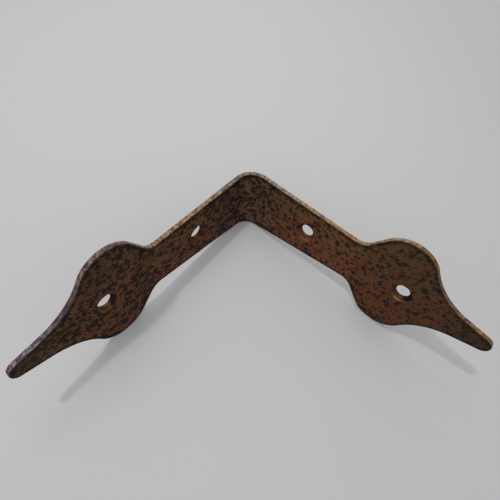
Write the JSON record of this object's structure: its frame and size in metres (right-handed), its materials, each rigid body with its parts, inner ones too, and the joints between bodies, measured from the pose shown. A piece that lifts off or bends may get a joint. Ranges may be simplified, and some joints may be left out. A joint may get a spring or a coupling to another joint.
{
  "type": "corner brace bracket",
  "caption": "Right-angled corner brace folded from sheet steel; each arm runs from a tapered strap into a rounded lobe and a slim tip, with countersunk screw holes.",
  "frame": {"origin": "the sharp outer corner, where the planes of the two outer faces cross, at half the width of the strip", "axes": "+X along one arm, with its outer face on y = 0; +Y along the other arm, with its outer face on x = 0; +Z across the width of the strip"},
  "size_m": [0.1, 0.1, 0.0426],
  "materials": {
    "coated_steel": "antique copper brown paint, mottled with black specks, with a soft sheen and paler, worn cut edges"
  },
  "bodies": {
    "root": {"bracket": "coated_steel"}
  },
  "joints": []
}
